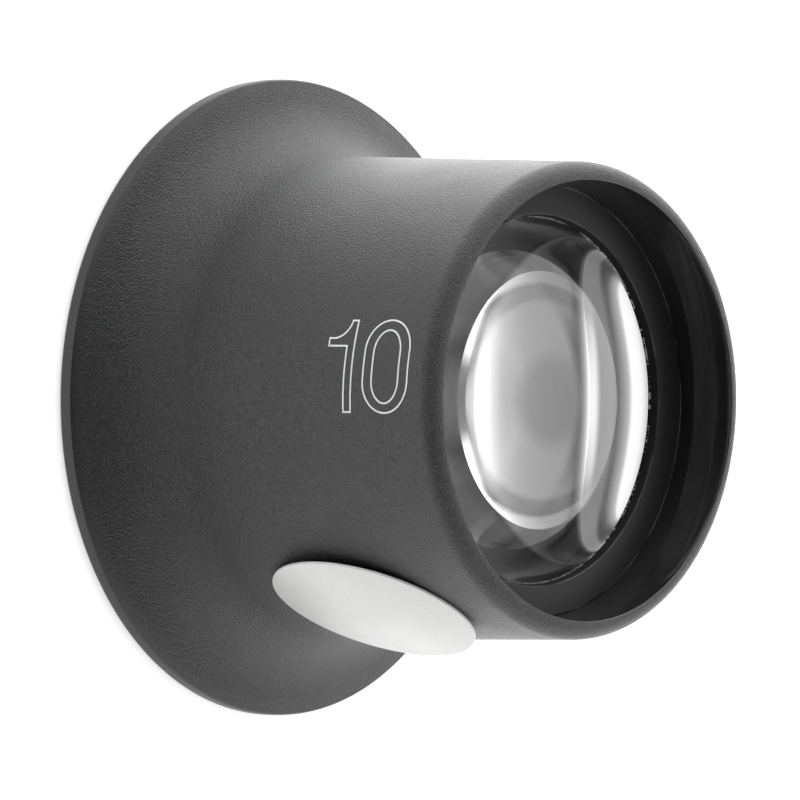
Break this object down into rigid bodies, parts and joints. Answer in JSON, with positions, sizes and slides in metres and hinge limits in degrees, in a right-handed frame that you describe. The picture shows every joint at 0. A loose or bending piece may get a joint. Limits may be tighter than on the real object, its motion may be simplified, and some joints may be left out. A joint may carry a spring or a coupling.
{
  "type": "eye loupe",
  "caption": "Watchmaker's eye loupe: dark moulded cup with a wide eye flange, a thick biconvex lens held by a ring near its mouth, and a blank oval label.",
  "frame": {"origin": "centre of the eye flange's back face, on which the loupe stands", "axes": "+Z along the optical axis towards the object side, -Y towards the side that carries the printed number, +X towards the side with the oval label"},
  "size_m": [0.04, 0.04, 0.0262],
  "materials": {
    "cup_plastic": "fine moulded grain outside and over the mouth rim, smooth and glossy in the bores",
    "lens_glass": "clear polished faces, fine-ground edge",
    "ring_black": "black, with fine concentric turning marks on its front face",
    "label_foil": "satin silver foil face, blank, with a bright cut edge"
  },
  "bodies": {
    "root": {"eyecup_body": "cup_plastic", "lens": "lens_glass", "retaining_ring": "ring_black", "oval_label": "label_foil"}
  },
  "joints": []
}
